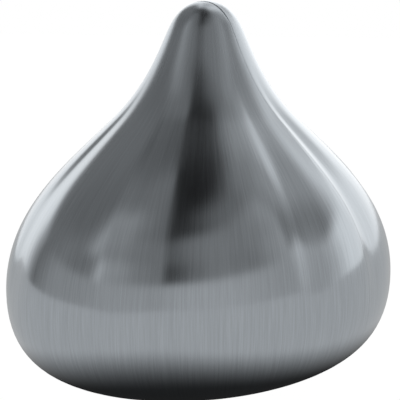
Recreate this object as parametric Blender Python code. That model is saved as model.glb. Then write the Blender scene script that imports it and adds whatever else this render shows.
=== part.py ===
"""Garlic press in the form of a garlic bulb: two steel half shells hinged at the foot.

Frame: origin under the middle of the bulb, +Z up, +X along the hinge pin, -Y through the front
half. Sizes are in millimetres and become metres when a mesh is made. The rear half swings back
about the hinge pin, and its plunger stays square to the basket in the front half.
"""
import math

import bmesh
import bpy
from mathutils import Matrix, Vector

MM = 0.001

# Bulb: half outline across the width, and how much deeper than wide it is.
BULB_HEIGHT = 72.0
BASE_RADIUS = 10.5
BASE_HANDLE = 12.0
BELLY_RADIUS = 35.5
BELLY_Z = 18.0
BELLY_HANDLES = (17.0, 15.0)
NECK_RADIUS = 16.5
NECK_Z = 50.0
NECK_LEAN = 0.80
NECK_HANDLES = (12.0, 8.6)
TIP_RADIUS = 6.6
TIP_Z = 67.0
TIP_LEAN = 0.42
TIP_HANDLES = (4.6, 2.6)
TOP_HANDLE = 3.6
DEPTH_RATIO = 1.28
WALL = 1.2

# Cloves: creases run down from the neck and die out above the base. Each has its azimuth from
# the front pole, its width before and after that in degrees, and its depth; a negative depth is
# a low ridge.
CREASES = (
    (-156, 5, 10, 0.45), (-128, 5, 10, 0.45), (-97, 5, 10, 0.45), (-66, 5, 10, 0.4),
    (-32, 5, 9, 0.42), (10, 4, 5, 0.14), (23, 4, 8, -0.16), (65, 5, 8, 0.50), (92, 4, 7, 0.48),
    (120, 4, 10, 0.45), (148, 5, 10, 0.45), (176, 5, 10, 0.45),
)
CREASE_TOP = 62.0
CREASE_TOP_FADE = 22.0
CREASE_BOTTOM = 12.0
CREASE_BOTTOM_FADE = 14.0

# How finely the bulb is divided: rows on each curve of its outline, and columns round it.
BULB_ROWS = (9, 8, 6, 4)
BULB_COLUMNS = 48

# Clearances between neighbouring pieces.
GAP = 0.3
PAD_THICKNESS = 0.9
SHELL_Z = PAD_THICKNESS + GAP

# Parting plane and hinge.
PART_Y = -1.5
HINGE_Z = 7.0
OPENING = math.radians(50.0)
KNUCKLE_RADIUS = 4.2
KNUCKLE_HALF = 10.0
KNUCKLE_WEB_TOP = 14.0
KNUCKLE_CLEARANCE = 0.6
OUTER_KNUCKLE = (11.2, 18.0)
WASHER = 0.6
WASHER_RADIUS = 3.6
PIN_RADIUS = 1.8
PIN_BORE = 2.1
PIN_HEAD_RADIUS = 3.0
PIN_HEAD = 1.0
PIN_TAIL = 1.8
PIN_CLIP = 0.8
BUSH_WALL = 0.8

# Frames: flat plates that carry the works inside each shell.
FRAME_FACE = 0.9
FRAME_THICKNESS = 2.2
FRAME_BACK = FRAME_FACE + FRAME_THICKNESS
FRAME_EDGE = 0.5
FRAME_BOTTOM = 9.0
FRAME_TOP = 63.0
BOSSES = ((-23.5, 36.0), (23.5, 36.0), (-26.0, 14.0), (26.0, 14.0))
BOSS_RADIUS = 2.7
SCREW_RADIUS = 1.2
SCREW_HEAD_RADIUS = 2.3
SCREW_HEAD = 0.8
SCREW_LENGTH = 6.5
SCREW_SLOT = (3.2, 0.6, 0.35)
MAGNET_Z = 58.0
MAGNET_RADIUS = 3.0
MAGNET_THICKNESS = 1.7
MAGNET_PROUD = 0.4
MAGNET_POCKET = 1.6

# Rubber pads that the bulb stands on, one under each half.
PAD_SIZE = (18.0, 7.5)
PAD_CORNER = 2.5
PAD_Y = 8.6

# Basket and sieve.
BASKET_Z = 33.0
BASKET_INSIDE = (24.0, 22.0)
BASKET_CORNER = 2.0
BASKET_WALL = 1.5
BASKET_DEPTH = 18.6
BASKET_LEDGE = 1.5
BASKET_LEDGE_THICKNESS = 1.0
FLANGE = (31.0, 28.5)
FLANGE_CORNER = 3.5
FLANGE_THICKNESS = 1.0
SCOOP_WINDOW = (24.0, 7.0)
SCOOP_Z = 16.0
SIEVE_THICKNESS = 1.2
SIEVE_HOLE_RADIUS = 0.9
SIEVE_PITCH = 2.9
SIEVE_COLUMNS = 7
SIEVE_ROWS = 6

# Plunger: its foot, the arm that carries it and the pin between them.
FOOT_SIZE = (21.4, 19.4)
FOOT_CORNER = 2.0
FOOT_STAND_OFF = 0.4
FOOT_THICKNESS = 4.8
FOOT_Z = BASKET_Z - 0.5
PIVOT_DEPTH = 8.0
LUG_RADIUS = 3.2
LUG_HALF = (4.4, 6.8)
LUG_WEB_HALF = 3.1
ARM_HALF = 4.0
ARM_BEAM_HALF = 3.2
PLUNGER_PIN_RADIUS = 1.5
PLUNGER_PIN_HEAD_RADIUS = 2.4
PLUNGER_PIN_HEAD = 0.8
PLUNGER_PIN_TAIL = 1.5
PLUNGER_CLIP_RADIUS = 2.6
PLUNGER_CLIP = 0.7
PLUNGER_BORE = 1.8
ARM_FLANGE = (18.0, 16.0)
ARM_FLANGE_CORNER = 3.0
ARM_FLANGE_THICKNESS = 2.0
ARM_SCREW_X = 6.5
ARM_SCREW_HEAD_RADIUS = 2.0
ARM_SCREW_LENGTH = 4.3

# Long enough to pass right through, and the small overlap or offset that keeps faces apart.
THROUGH = 60.0
LAP = 0.2
SLIVER = 0.01

ROUND = 24
FINE = 16

STEEL = ("brushed steel", (0.52, 0.53, 0.55), 0.28, 1.0)
CAST = ("cast steel", (0.45, 0.46, 0.47), 0.45, 1.0)
BRIGHT = ("bright steel", (0.62, 0.62, 0.63), 0.2, 1.0)
NICKEL = ("nickel plate", (0.66, 0.64, 0.60), 0.18, 1.0)
NYLON = ("white nylon", (0.80, 0.80, 0.77), 0.5, 0.0)
RUBBER = ("grey rubber", (0.06, 0.06, 0.065), 0.7, 0.0)


def clear_scene():
    for item in list(bpy.data.objects):
        bpy.data.objects.remove(item)


def material(spec):
    name, colour, roughness, metallic = spec
    found = bpy.data.materials.get(name)
    if found:
        return found
    made = bpy.data.materials.new(name)
    made.use_nodes = True
    shader = made.node_tree.nodes["Principled BSDF"]
    shader.inputs["Base Color"].default_value = (*colour, 1.0)
    shader.inputs["Roughness"].default_value = roughness
    shader.inputs["Metallic"].default_value = metallic
    return made


def finish(name, bm, spec=None, axis=None):
    """Turn a millimetre bmesh into an object; without a material it is a cutter."""
    bmesh.ops.recalc_face_normals(bm, faces=bm.faces)
    bm.transform(Matrix.Scale(MM, 4))
    mesh = bpy.data.meshes.new(name)
    bm.to_mesh(mesh)
    bm.free()
    made = bpy.data.objects.new(name, mesh)
    bpy.context.scene.collection.objects.link(made)
    if spec is None:
        made.hide_render = True
        made.display_type = "WIRE"
    else:
        mesh.materials.append(material(spec))
        mesh.shade_smooth()
        mesh.set_sharp_from_angle(angle=math.radians(30))
    if axis is not None:
        made.parent = axis
        made.location = -axis.matrix_world.translation
    return made


def combine(target, tool, operation):
    step = target.modifiers.new(operation.lower() + " " + tool.name, "BOOLEAN")
    step.operation = operation
    step.solver = "EXACT"
    step.object = tool


def axis_empty(name, place, parent=None):
    made = bpy.data.objects.new(name, None)
    bpy.context.scene.collection.objects.link(made)
    made.location = Vector(place) * MM
    if parent is not None:
        made.location -= parent.location
        made.parent = parent
    bpy.context.view_layer.update()
    return made


def prism(bm, outline, y0, y1):
    """Extrude an outline of (x, z) points from y0 to y1."""
    near = [bm.verts.new((x, y0, z)) for x, z in outline]
    far = [bm.verts.new((x, y1, z)) for x, z in outline]
    bm.faces.new(near)
    bm.faces.new(far)
    for i in range(len(near)):
        j = (i + 1) % len(near)
        bm.faces.new((near[i], near[j], far[j], far[i]))


def rounded_rectangle(width, height, radius, centre_z, steps=3):
    points = []
    corners = ((1, 1, 0), (-1, 1, 90), (-1, -1, 180), (1, -1, 270))
    for sx, sz, start in corners:
        for i in range(steps + 1):
            turn = math.radians(start + 90 * i / steps)
            x = sx * (width / 2 - radius) + radius * math.cos(turn)
            z = centre_z + sz * (height / 2 - radius) + radius * math.sin(turn)
            points.append((x, z))
    return points


def box(bm, low, high):
    outline = [(low[0], low[2]), (high[0], low[2]), (high[0], high[2]), (low[0], high[2])]
    prism(bm, outline, low[1], high[1])


def rod(bm, start, end, radius, sides=FINE):
    """A round bar between two points that share two of their coordinates."""
    start, end = Vector(start), Vector(end)
    span = end - start
    turn = span.to_track_quat("Z", "Y").to_matrix().to_4x4()
    place = Matrix.Translation((start + end) / 2) @ turn
    bmesh.ops.create_cone(bm, cap_ends=True, segments=sides, radius1=radius, radius2=radius,
                          depth=span.length, matrix=place)


def ring(bm, x0, x1, centre, outer, inner, sides=ROUND):
    """A tube along X around the axis through centre, given as (y, z)."""
    loops = []
    for x, radius in ((x0, outer), (x1, outer), (x1, inner), (x0, inner)):
        loops.append([bm.verts.new((x, centre[0] + radius * math.cos(2 * math.pi * i / sides),
                                    centre[1] + radius * math.sin(2 * math.pi * i / sides)))
                      for i in range(sides)])
    for k in range(4):
        here, there = loops[k], loops[(k + 1) % 4]
        for i in range(sides):
            j = (i + 1) % sides
            bm.faces.new((here[i], here[j], there[j], there[i]))


def smooth_step(value):
    value = min(max(value, 0.0), 1.0)
    return value * value * (3 - 2 * value)


def bezier(points, t):
    """Point and direction on a cubic curve through (radius, z) control points."""
    a, b, c, d = (Vector(p) for p in points)
    u = 1 - t
    place = a * u ** 3 + b * 3 * t * u * u + c * 3 * t * t * u + d * t ** 3
    along = (b - a) * 3 * u * u + (c - b) * 6 * t * u + (d - c) * 3 * t * t
    return place, along


def bulb_curves():
    lean = Vector((-math.cos(NECK_LEAN), math.sin(NECK_LEAN)))
    rise = Vector((-math.sin(TIP_LEAN), math.cos(TIP_LEAN)))
    base = Vector((BASE_RADIUS, 0))
    belly = Vector((BELLY_RADIUS, BELLY_Z))
    neck = Vector((NECK_RADIUS, NECK_Z))
    tip = Vector((TIP_RADIUS, TIP_Z))
    top = Vector((0, BULB_HEIGHT))
    return (
        (base, base + Vector((BASE_HANDLE, 0)), belly - Vector((0, BELLY_HANDLES[0])), belly),
        (belly, belly + Vector((0, BELLY_HANDLES[1])), neck - lean * NECK_HANDLES[0], neck),
        (neck, neck + lean * NECK_HANDLES[1], tip - rise * TIP_HANDLES[0], tip),
        (tip, tip + rise * TIP_HANDLES[1], top + Vector((TOP_HANDLE, 0)), top),
    )


def bulb_stations():
    """Sample points and directions up the outline, without the two ends on the axis."""
    stations = []
    for curve, steps in zip(bulb_curves(), BULB_ROWS):
        for i in range(steps):
            stations.append(bezier(curve, i / steps))
    return stations


def crease(azimuth, height):
    fade = smooth_step((CREASE_TOP - height) / CREASE_TOP_FADE)
    fade *= smooth_step((height - CREASE_BOTTOM) / CREASE_BOTTOM_FADE)
    total = 0.0
    for degrees, before, after, depth in CREASES:
        off = math.remainder(azimuth - math.radians(degrees), 2 * math.pi)
        width = math.radians(before if off < 0 else after)
        total += depth * math.exp(-(off / width) ** 2)
    return fade * total


def bulb_point(station, azimuth, inset):
    """A point of the bulb's skin, moved inwards by inset; azimuth 0 is the front pole."""
    (radius, height), (out, up) = station
    sine, cosine = math.sin(azimuth), math.cos(azimuth)
    normal = Vector((DEPTH_RATIO * up * sine, -up * cosine, -DEPTH_RATIO * out)).normalized()
    place = Vector((radius * sine, -DEPTH_RATIO * radius * cosine, height + SHELL_Z))
    return place - normal * (inset + crease(azimuth, height))


def bulb_solid(name, inset, keep=None):
    """The bulb as a closed body; keep is the side of a plane to keep, as (sign, y)."""
    bm = bmesh.new()
    rings = []
    for station in bulb_stations():
        rings.append([bm.verts.new(bulb_point(station, 2 * math.pi * i / BULB_COLUMNS, inset))
                      for i in range(BULB_COLUMNS)])
    top = bm.verts.new((0, 0, BULB_HEIGHT + SHELL_Z - inset))
    bm.faces.new(rings[0])
    for low, high in zip(rings, rings[1:]):
        for i in range(BULB_COLUMNS):
            j = (i + 1) % BULB_COLUMNS
            bm.faces.new((low[i], low[j], high[j], high[i]))
    for i in range(BULB_COLUMNS):
        bm.faces.new((rings[-1][i], rings[-1][(i + 1) % BULB_COLUMNS], top))
    if keep is not None:
        side, plane_y = keep
        everything = bm.verts[:] + bm.edges[:] + bm.faces[:]
        cut = bmesh.ops.bisect_plane(bm, geom=everything, plane_co=(0, plane_y, 0),
                                     plane_no=(0, -side, 0), clear_outer=True)
        edges = [e for e in cut["geom_cut"] if isinstance(e, bmesh.types.BMEdge)]
        bmesh.ops.contextual_create(bm, geom=edges)
    return finish(name, bm)


def inner_outline(inset, low, high, depth):
    """Outline that stays inside the bulb at a given depth from its middle."""
    reach = [bulb_point(s, math.pi / 2, inset) for s in bulb_stations()]
    heights = [low] + [p.z for p in reach if low < p.z < high] + [high]
    side = []
    for z in heights:
        width = width_at(reach, z)
        side.append((width * math.sqrt(1 - (depth / (DEPTH_RATIO * width)) ** 2), z))
    return side + [(-x, z) for x, z in reversed(side)]


def width_at(points, z):
    for low, high in zip(points, points[1:]):
        if low.z <= z <= high.z:
            return low.x + (high.x - low.x) * (z - low.z) / (high.z - low.z)
    return points[-1].x


def shell(name, side, axis=None):
    """Half of the bulb, drawn from sheet, with four screw bosses on its inside."""
    bosses = bmesh.new()
    holes = bmesh.new()
    start = PART_Y + side * (FRAME_BACK + GAP)
    for x, z in BOSSES:
        rod(bosses, (x, start, z), (x, start + side * THROUGH, z), BOSS_RADIUS)
        rod(holes, (x, start - side, z), (x, start + side * (SCREW_LENGTH - 1), z),
            SCREW_RADIUS + GAP, sides=8)
    bosses = finish(name + "_boss_guide", bosses)
    combine(bosses, bulb_solid(name + "_boss_limit", WALL / 2), "INTERSECT")
    made = bulb_solid(name, 0.0, keep=(side, PART_Y + side * GAP / 2))
    combine(made, bulb_solid(name + "_hollow", WALL), "DIFFERENCE")
    combine(made, bosses, "UNION")
    combine(made, finish(name + "_screw_holes", holes), "DIFFERENCE")
    made.hide_render = False
    made.display_type = "TEXTURED"
    made.data.materials.append(material(STEEL))
    made.data.shade_smooth()
    made.data.set_sharp_from_angle(angle=math.radians(40))
    if axis is not None:
        made.parent = axis
        made.location = -axis.location
    return made


def relieve_rear_rim(rear):
    """Cut away the rear rim where it would meet the underside of the front half."""
    swept = bulb_solid("rear_rim_relief", -GAP, keep=(-1, PART_Y))
    hinge = Vector((0, PART_Y, HINGE_Z)) * MM
    turn = Matrix.Rotation(OPENING, 4, "X")
    swept.data.transform(Matrix.Translation(hinge) @ turn @ Matrix.Translation(-hinge))
    combine(rear, swept, "DIFFERENCE")


def frame(name, side, axis=None):
    """Plate behind the parting plane, with its hinge knuckles, screw seats and magnet pocket."""
    face = PART_Y + side * FRAME_FACE
    back = PART_Y + side * FRAME_BACK
    plate = bmesh.new()
    outline = inner_outline(WALL + FRAME_EDGE, FRAME_BOTTOM, FRAME_TOP, abs(back))
    prism(plate, outline, face, back)
    made = finish(name, plate, CAST, axis)
    knuckles = bmesh.new()
    webs = bmesh.new()
    spans = ((-KNUCKLE_HALF, KNUCKLE_HALF),) if side > 0 else (
        (-OUTER_KNUCKLE[1], -OUTER_KNUCKLE[0]), OUTER_KNUCKLE)
    for x0, x1 in spans:
        rod(knuckles, (x0, PART_Y, HINGE_Z), (x1, PART_Y, HINGE_Z), KNUCKLE_RADIUS, ROUND)
        box(webs, (x0 + SLIVER, min(face, back), HINGE_Z),
            (x1 - SLIVER, max(face, back), KNUCKLE_WEB_TOP))
    combine(made, finish(name + "_webs", webs), "UNION")
    combine(made, finish(name + "_knuckles", knuckles), "UNION")
    cuts = bmesh.new()
    bore = PIN_BORE if side < 0 else PIN_BORE + BUSH_WALL + GAP
    rod(cuts, (-THROUGH / 2, PART_Y, HINGE_Z), (THROUGH / 2, PART_Y, HINGE_Z), bore, ROUND)
    for x, z in BOSSES:
        rod(cuts, (x, face - side, z), (x, back + side, z), SCREW_RADIUS + GAP, sides=8)
    seats = bmesh.new()
    for x, z in BOSSES:
        rod(seats, (x, face - side, z), (x, face + side * (SCREW_HEAD + GAP), z),
            SCREW_HEAD_RADIUS + GAP)
    rod(seats, (0, face - side, MAGNET_Z), (0, face + side * MAGNET_POCKET, MAGNET_Z),
        MAGNET_RADIUS + GAP)
    gaps = bmesh.new()
    inner, outer = OUTER_KNUCKLE
    pin_room = outer + PIN_TAIL + PIN_HEAD_RADIUS
    others = ((-pin_room, -KNUCKLE_HALF - GAP), (KNUCKLE_HALF + GAP, pin_room))
    if side < 0:
        others = ((-pin_room, -outer - LAP / 2), (-inner + GAP, inner - GAP),
                  (outer + LAP / 2, pin_room))
    for x0, x1 in others:
        rod(gaps, (x0, PART_Y, HINGE_Z), (x1, PART_Y, HINGE_Z),
            KNUCKLE_RADIUS + KNUCKLE_CLEARANCE, ROUND)
    combine(made, finish(name + "_bores", cuts), "DIFFERENCE")
    combine(made, finish(name + "_seats", seats), "DIFFERENCE")
    combine(made, finish(name + "_knuckle_gaps", gaps), "DIFFERENCE")
    return made


def screw(name, x, z, face, side, axis=None):
    """Pan-head screw whose shank points along side from the plate's face."""
    bm = bmesh.new()
    head_end = face + side * SCREW_HEAD
    rod(bm, (x, face, z), (x, head_end, z), SCREW_HEAD_RADIUS)
    made = finish(name, bm, BRIGHT, axis)
    shank = bmesh.new()
    rod(shank, (x, head_end - side * LAP, z), (x, head_end + side * SCREW_LENGTH, z),
        SCREW_RADIUS, sides=8)
    slot = bmesh.new()
    length, width, depth = SCREW_SLOT
    box(slot, (x - length / 2, face - depth, z - width / 2),
        (x + length / 2, face + depth, z + width / 2))
    combine(made, finish(name + "_shank", shank), "UNION")
    combine(made, finish(name + "_slot", slot), "DIFFERENCE")


def headed_pin(name, end, centre, radius, head_radius, head, tail, axis=None):
    """A pin along X with its head before -end and its tail past +end."""
    bm = bmesh.new()
    rod(bm, (-end - head, *centre), (-end, *centre), head_radius, ROUND)
    pin = finish(name, bm, BRIGHT, axis)
    shaft = bmesh.new()
    rod(shaft, (-end - LAP, *centre), (end + tail, *centre), radius, ROUND)
    combine(pin, finish(name + "_shaft", shaft), "UNION")


def collar(name, x0, x1, centre, outer, inner, spec, axis=None):
    bm = bmesh.new()
    ring(bm, x0, x1, centre, outer, inner)
    finish(name, bm, spec, axis)


def hinge_pieces(rear_axis):
    centre = (PART_Y, HINGE_Z)
    end = OUTER_KNUCKLE[1] + GAP
    headed_pin("hinge_pin", end, centre, PIN_RADIUS, PIN_HEAD_RADIUS, PIN_HEAD, PIN_TAIL)
    collar("hinge_pin_clip", end, end + PIN_CLIP, centre, PIN_HEAD_RADIUS, PIN_RADIUS + GAP,
           NICKEL)
    for name, side in (("hinge_washer_left", -1), ("hinge_washer_right", 1)):
        start = side * (KNUCKLE_HALF + GAP)
        collar(name, start, start + side * WASHER, centre, WASHER_RADIUS, PIN_BORE, NYLON)
    collar("hinge_bush", -KNUCKLE_HALF, KNUCKLE_HALF, centre, PIN_BORE + BUSH_WALL, PIN_BORE,
           NYLON, rear_axis)


def magnets(rear_axis):
    for name, side, axis in (("front_magnet", -1, None), ("rear_magnet", 1, rear_axis)):
        start = PART_Y + side * (FRAME_FACE - MAGNET_PROUD)
        bm = bmesh.new()
        rod(bm, (0, start, MAGNET_Z), (0, start + side * MAGNET_THICKNESS, MAGNET_Z),
            MAGNET_RADIUS, ROUND)
        finish(name, bm, NICKEL, axis)


def pads(rear_axis):
    lay_flat = Matrix.Rotation(math.pi / 2, 4, "X")
    for name, side, axis in (("front_pad", -1, None), ("rear_pad", 1, rear_axis)):
        bm = bmesh.new()
        prism(bm, rounded_rectangle(*PAD_SIZE, PAD_CORNER, 0, steps=4), 0, PAD_THICKNESS)
        bm.transform(Matrix.Translation((0, side * PAD_Y, 0)) @ lay_flat)
        finish(name, bm, RUBBER, axis)


def basket(front_frame):
    """Cup with a flange and a ledge for the sieve; returns where the sieve's back lies."""
    width, height = BASKET_INSIDE
    outside = (width + 2 * BASKET_WALL, height + 2 * BASKET_WALL)
    corner = BASKET_CORNER + BASKET_WALL - LAP
    flange_back = PART_Y - FRAME_FACE + GAP
    bottom = flange_back - BASKET_DEPTH
    ledge_face = bottom + BASKET_LEDGE_THICKNESS
    bm = bmesh.new()
    prism(bm, rounded_rectangle(*FLANGE, FLANGE_CORNER, BASKET_Z), flange_back,
          flange_back + FLANGE_THICKNESS)
    made = finish("basket", bm, BRIGHT)
    cup = bmesh.new()
    prism(cup, rounded_rectangle(*outside, corner, BASKET_Z), bottom, flange_back + 2 * LAP)
    inside = bmesh.new()
    prism(inside, rounded_rectangle(width, height, BASKET_CORNER, BASKET_Z), ledge_face,
          ledge_face + THROUGH)
    ledge = bmesh.new()
    prism(ledge, rounded_rectangle(width - 2 * BASKET_LEDGE, height - 2 * BASKET_LEDGE,
                                   BASKET_CORNER, BASKET_Z), bottom - 1, ledge_face + 1)
    combine(made, finish("basket_cup", cup), "UNION")
    combine(made, finish("basket_inside", inside), "DIFFERENCE")
    combine(made, finish("basket_ledge", ledge), "DIFFERENCE")
    frame_back = PART_Y - FRAME_BACK
    window = bmesh.new()
    prism(window, rounded_rectangle(outside[0] + 2 * GAP, outside[1] + 2 * GAP, corner + GAP,
                                    BASKET_Z), frame_back - 1, PART_Y)
    scoop = bmesh.new()
    prism(scoop, rounded_rectangle(*SCOOP_WINDOW, BASKET_CORNER, SCOOP_Z), frame_back - 1, PART_Y)
    combine(front_frame, finish("basket_window", window), "DIFFERENCE")
    combine(front_frame, finish("scoop_window", scoop), "DIFFERENCE")
    return ledge_face + GAP


def sieve(back):
    """Perforated plate on the basket's ledge; returns where its face lies."""
    width, height = (size - 2 * GAP for size in BASKET_INSIDE)
    face = back + SIEVE_THICKNESS
    bm = bmesh.new()
    prism(bm, rounded_rectangle(width, height, BASKET_CORNER - GAP, BASKET_Z), back, face)
    made = finish("sieve_plate", bm, BRIGHT)
    holes = bmesh.new()
    for i in range(SIEVE_COLUMNS):
        for j in range(SIEVE_ROWS):
            x = (i - (SIEVE_COLUMNS - 1) / 2) * SIEVE_PITCH
            z = BASKET_Z + (j - (SIEVE_ROWS - 1) / 2) * SIEVE_PITCH
            rod(holes, (x, back - 1, z), (x, face + 1, z), SIEVE_HOLE_RADIUS, 8)
    combine(made, finish("sieve_holes", holes), "DIFFERENCE")
    return face


def plunger_foot(front, pivot_y, bore, axis):
    """Pressing plate with two lugs for the plunger pin."""
    bm = bmesh.new()
    prism(bm, rounded_rectangle(*FOOT_SIZE, FOOT_CORNER, FOOT_Z), front, front + FOOT_THICKNESS)
    foot = finish("plunger_foot", bm, CAST, axis)
    lugs = bmesh.new()
    webs = bmesh.new()
    for side in (-1, 1):
        x0, x1 = sorted((side * LUG_HALF[0], side * LUG_HALF[1]))
        rod(lugs, (x0, pivot_y, FOOT_Z), (x1, pivot_y, FOOT_Z), LUG_RADIUS, ROUND)
        box(webs, (x0 + SLIVER, front + 1, FOOT_Z - LUG_WEB_HALF),
            (x1 - SLIVER, pivot_y, FOOT_Z + LUG_WEB_HALF))
    combine(foot, finish("plunger_lug_webs", webs), "UNION")
    combine(foot, finish("plunger_lugs", lugs), "UNION")
    combine(foot, bore, "DIFFERENCE")


def plunger_arm(pivot_y, bore, rear_frame, axis):
    """Beam from the rear frame to the plunger pin, screwed on behind by its flange."""
    frame_back = PART_Y + FRAME_BACK
    flange_start = frame_back + GAP
    flange_end = flange_start + ARM_FLANGE_THICKNESS
    bm = bmesh.new()
    prism(bm, rounded_rectangle(*ARM_FLANGE, ARM_FLANGE_CORNER, FOOT_Z), flange_start, flange_end)
    arm = finish("plunger_arm", bm, CAST, axis)
    beam = bmesh.new()
    box(beam, (-ARM_HALF, pivot_y, FOOT_Z - ARM_BEAM_HALF),
        (ARM_HALF, flange_end - 2 * LAP, FOOT_Z + ARM_BEAM_HALF))
    eye = bmesh.new()
    rod(eye, (SLIVER - ARM_HALF, pivot_y, FOOT_Z), (ARM_HALF - SLIVER, pivot_y, FOOT_Z),
        LUG_RADIUS, ROUND)
    combine(arm, finish("arm_beam", beam), "UNION")
    combine(arm, finish("arm_eye", eye), "UNION")
    combine(arm, bore, "DIFFERENCE")
    window = bmesh.new()
    box(window, (-ARM_HALF - GAP, PART_Y, FOOT_Z - ARM_BEAM_HALF - GAP),
        (ARM_HALF + GAP, frame_back + 1, FOOT_Z + ARM_BEAM_HALF + GAP))
    combine(rear_frame, finish("arm_window", window), "DIFFERENCE")
    holes = bmesh.new()
    for number, side in ((1, -1), (2, 1)):
        x = side * ARM_SCREW_X
        arm_screw("arm_screw_%d" % number, x, flange_end + GAP, axis)
        rod(holes, (x, PART_Y, FOOT_Z), (x, flange_end + 1, FOOT_Z), SCREW_RADIUS + GAP, 8)
    holes = finish("arm_screw_holes", holes)
    combine(arm, holes, "DIFFERENCE")
    combine(rear_frame, holes, "DIFFERENCE")


def arm_screw(name, x, head_start, axis):
    bm = bmesh.new()
    rod(bm, (x, head_start, FOOT_Z), (x, head_start + SCREW_HEAD, FOOT_Z), ARM_SCREW_HEAD_RADIUS)
    made = finish(name, bm, BRIGHT, axis)
    shank = bmesh.new()
    rod(shank, (x, head_start + LAP, FOOT_Z), (x, head_start - ARM_SCREW_LENGTH, FOOT_Z),
        SCREW_RADIUS, 8)
    combine(made, finish(name + "_shank", shank), "UNION")


def plunger(sieve_face, rear_axis, pivot_axis, rear_frame):
    pivot_y = PART_Y - PIVOT_DEPTH
    centre = (pivot_y, FOOT_Z)
    bore = bmesh.new()
    rod(bore, (-THROUGH / 2, *centre), (THROUGH / 2, *centre), PLUNGER_BORE, ROUND)
    bore = finish("plunger_bore", bore)
    plunger_foot(sieve_face + FOOT_STAND_OFF, pivot_y, bore, pivot_axis)
    plunger_arm(pivot_y, bore, rear_frame, rear_axis)
    end = LUG_HALF[1] + GAP
    headed_pin("plunger_pin", end, centre, PLUNGER_PIN_RADIUS, PLUNGER_PIN_HEAD_RADIUS,
               PLUNGER_PIN_HEAD, PLUNGER_PIN_TAIL, rear_axis)
    collar("plunger_pin_clip", end, end + PLUNGER_CLIP, centre, PLUNGER_CLIP_RADIUS,
           PLUNGER_PIN_RADIUS + GAP, NICKEL, rear_axis)


def main():
    clear_scene()
    rear_axis = axis_empty("opening_axis", (0, PART_Y, HINGE_Z))
    pivot_axis = axis_empty("plunger_axis", (0, PART_Y - PIVOT_DEPTH, FOOT_Z), rear_axis)
    shell("front_shell", -1)
    rear_shell = shell("rear_shell", 1, rear_axis)
    relieve_rear_rim(rear_shell)
    front_frame = frame("front_frame", -1)
    rear_frame = frame("rear_frame", 1, rear_axis)
    for number, (x, z) in enumerate(BOSSES, 1):
        screw("front_screw_%d" % number, x, z, PART_Y - FRAME_FACE, -1)
        screw("rear_screw_%d" % number, x, z, PART_Y + FRAME_FACE, 1, rear_axis)
    hinge_pieces(rear_axis)
    magnets(rear_axis)
    pads(rear_axis)
    sieve_face = sieve(basket(front_frame))
    plunger(sieve_face, rear_axis, pivot_axis, rear_frame)


main()
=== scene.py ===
import math

import bmesh
import bpy
from mathutils import Matrix, Vector
from mathutils.bvhtree import BVHTree


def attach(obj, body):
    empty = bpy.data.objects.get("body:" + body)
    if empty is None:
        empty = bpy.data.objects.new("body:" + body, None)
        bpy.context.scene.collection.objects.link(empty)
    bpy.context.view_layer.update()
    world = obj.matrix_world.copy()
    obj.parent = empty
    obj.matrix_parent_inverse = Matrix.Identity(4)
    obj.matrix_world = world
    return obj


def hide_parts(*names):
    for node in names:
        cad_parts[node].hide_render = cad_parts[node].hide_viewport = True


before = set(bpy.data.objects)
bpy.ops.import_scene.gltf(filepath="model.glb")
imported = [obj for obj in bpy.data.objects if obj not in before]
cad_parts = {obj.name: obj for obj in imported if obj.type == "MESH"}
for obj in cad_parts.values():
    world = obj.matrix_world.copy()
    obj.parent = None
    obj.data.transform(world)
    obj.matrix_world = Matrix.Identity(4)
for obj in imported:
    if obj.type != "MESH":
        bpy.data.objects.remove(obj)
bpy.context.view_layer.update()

MM = 0.001

# The bulb, in millimetres: its outline across the width, from the base over the belly and the
# neck to the top, with each curve's handles, and how much deeper than wide it is.
BULB_HEIGHT = 72.0
BASE_RADIUS = 10.5
BASE_HANDLE = 12.0
BELLY_RADIUS = 35.5
BELLY_Z = 18.0
BELLY_HANDLES = (17.0, 15.0)
NECK_RADIUS = 16.5
NECK_Z = 50.0
NECK_LEAN = 0.80
NECK_HANDLES = (12.0, 8.6)
TIP_RADIUS = 6.6
TIP_Z = 67.0
TIP_LEAN = 0.42
TIP_HANDLES = (4.6, 2.6)
TOP_HANDLE = 3.6
DEPTH_RATIO = 1.28
WALL = 1.2
SHELL_Z = 1.2

# Azimuth of each crease from the front pole in degrees, its width before and after that in
# degrees, and its depth; a negative depth is a low ridge. They fade out above and below.
CREASES = (
    (-156, 5, 10, 0.45), (-128, 5, 10, 0.45), (-97, 5, 10, 0.45), (-66, 5, 10, 0.4),
    (-32, 5, 9, 0.42), (10, 4, 5, 0.14), (23, 4, 8, -0.16), (65, 5, 8, 0.50), (92, 4, 7, 0.48),
    (120, 4, 10, 0.45), (148, 5, 10, 0.45), (176, 5, 10, 0.45),
)
CREASE_TOP = 62.0
CREASE_TOP_FADE = 22.0
CREASE_BOTTOM = 12.0
CREASE_BOTTOM_FADE = 14.0

# How finely the skin and the cutter that clears its rim are divided: rows on each curve of the
# outline, and columns round it.
SKIN_ROWS = (30, 44, 34, 22)
SKIN_COLUMNS = 240
RELIEF_ROWS = (12, 16, 12, 8)
RELIEF_COLUMNS = 160
MERGE_DISTANCE = 0.004

# Keeps this fine skin inside the many-sided one of the frame.
SKIN_INSET = 0.065

# Rim at the parting plane: depths of the loops that carry its edge, the chamfer on the tip, the
# radius of the edge, the heights over which the tip's share sets in, and the seam's width.
RIM_LOOPS = (0.03, 0.07, 0.12, 0.18, 0.4, 0.62, 0.8, 0.9)
RIM_CHAMFER = 0.4
RIM_SLOPE = 0.30
RIM_EDGE_AT_TIP = 0.16
RIM_EDGE_AT_BELLY = 0.02
RIM_TIP_Z = 66.5
RIM_TIP_RISE = 4.0
SEAM_GAP = 0.04

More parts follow.
